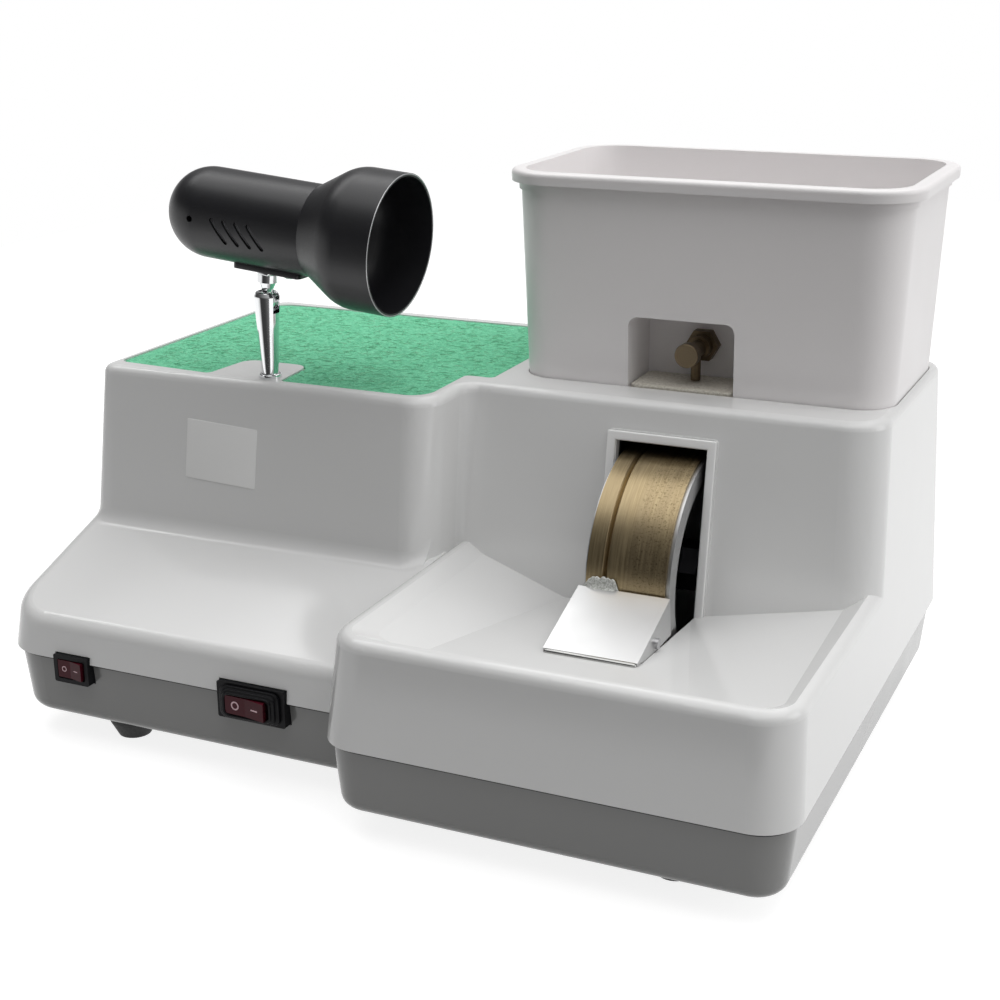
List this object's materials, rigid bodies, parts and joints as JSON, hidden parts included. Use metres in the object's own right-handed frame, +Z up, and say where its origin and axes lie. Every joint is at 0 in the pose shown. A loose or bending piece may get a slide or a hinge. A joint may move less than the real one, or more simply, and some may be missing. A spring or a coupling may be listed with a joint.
{
  "type": "lens faceting machine",
  "caption": "Table-top manual lens edger: stepped housing with a lens tray and a wide grinding wheel, swivelling work lamp, lift-off water tank with a drip tap and two rocker switches.",
  "frame": {"origin": "centre of the bounding box in plan, at the height of the surface it stands on", "axes": "+X to the operator's right, +Y away from the operator, +Z up"},
  "size_m": [0.431, 0.31, 0.2917],
  "materials": {
    "white_shell": "smooth glossy moulded plastic",
    "grey_base": "smooth glossy moulded plastic",
    "tank_plastic": "satin moulded plastic",
    "black_plastic": "satin black plastic",
    "red_plastic": "glossy red plastic",
    "lamp_black": "satin black paint",
    "motor_paint": "grey paint",
    "bright_steel": "bare machined steel",
    "polished_steel": "polished",
    "cast_alloy": "as cast, machined seats",
    "wheel_bronze": "sintered, finely gritted",
    "aged_brass": "turned, aged",
    "copper_wire": "varnished wire",
    "rubber_black": "matte",
    "mat_felt": "short fibrous mat",
    "pad_cream": "soft foam",
    "sponge_grey": "open sponge",
    "frosted_glass": "frosted"
  },
  "bodies": {
    "machine": {"upper_housing": "white_shell", "base_tray": "grey_base", "rubber_feet": "rubber_black", "foot_screws": "bright_steel", "case_screws": "bright_steel", "cable_gland": "black_plastic", "gland_nut": "black_plastic", "end_bell_drive": "cast_alloy", "end_bell_rear": "cast_alloy", "bearing_drive": "bright_steel", "bearing_rear": "bright_steel", "motor_shell": "motor_paint", "motor_stator": "bright_steel", "motor_windings": "copper_wire", "fan_cowl": "motor_paint", "motor_cradle": "cast_alloy", "cradle_bolts": "bright_steel", "run_capacitor": "black_plastic", "splash_box": "black_plastic", "shaft_seal": "rubber_black", "drain_spout": "black_plastic", "splash_guard": "polished_steel", "guard_screws": "bright_steel", "wiper_sponge": "sponge_grey", "post_washer": "polished_steel", "work_mat": "mat_felt", "drip_pad": "pad_cream", "lamp_switch_frame": "black_plastic", "motor_switch_frame": "black_plastic", "motor_switch_boot": "black_plastic"},
    "spindle": {"motor_shaft": "bright_steel", "wheel_flange": "bright_steel", "wheel_hub": "cast_alloy", "wheel_rim": "wheel_bronze", "wheel_washer": "bright_steel", "wheel_nut": "bright_steel", "rotor_core": "bright_steel", "cooling_fan": "black_plastic"},
    "lamp_arm": {"lamp_post": "polished_steel", "post_nut": "bright_steel"},
    "lamp_head": {"ball_neck": "polished_steel", "lamp_bracket": "lamp_black", "bracket_screw": "polished_steel", "lamp_body": "lamp_black", "lamp_shade": "lamp_black", "lamp_socket": "black_plastic", "lamp_bulb": "frosted_glass"},
    "tank": {"water_tank": "tank_plastic", "tap_body": "aged_brass", "tap_nut": "aged_brass", "tap_washer": "rubber_black", "tap_locknut": "aged_brass"},
    "tap": {"tap_knob": "aged_brass"},
    "lamp_rocker": {"lamp_switch_rocker": "red_plastic"},
    "motor_rocker": {"motor_switch_rocker": "red_plastic"}
  },
  "joints": [
    {"name": "spindle_spin", "type": "hinge", "parent": "machine", "child": "spindle", "pos_m": [0.10325, 0.01, 0.098], "axis": [1, 0, 0], "continuous": true},
    {"name": "lamp_turn", "type": "hinge", "parent": "machine", "child": "lamp_arm", "pos_m": [-0.1025, -0.025, 0.1815], "axis": [0, 0, 1], "range_deg": [-170, 170]},
    {"name": "lamp_tilt", "type": "hinge", "parent": "lamp_arm", "child": "lamp_head", "pos_m": [-0.1025, -0.025, 0.221], "axis": [0, 1, 0], "range_deg": [-15, 28]},
    {"name": "tank_lift", "type": "slide", "parent": "machine", "child": "tank", "axis": [0, 0, 1], "range_m": [0, 0.15]},
    {"name": "tap_turn", "type": "hinge", "parent": "tank", "child": "tap", "pos_m": [0.1045, 0.029, 0.1995], "axis": [0, 1, 0], "range_deg": [0, 270]},
    {"name": "lamp_switch_rock", "type": "hinge", "parent": "machine", "child": "lamp_rocker", "pos_m": [-0.167, -0.1218, 0.045], "axis": [0, 0, 1], "range_deg": [0, 14]},
    {"name": "motor_switch_rock", "type": "hinge", "parent": "machine", "child": "motor_rocker", "pos_m": [-0.06, -0.1265, 0.046], "axis": [0, 0, 1], "range_deg": [0, 14]}
  ]
}
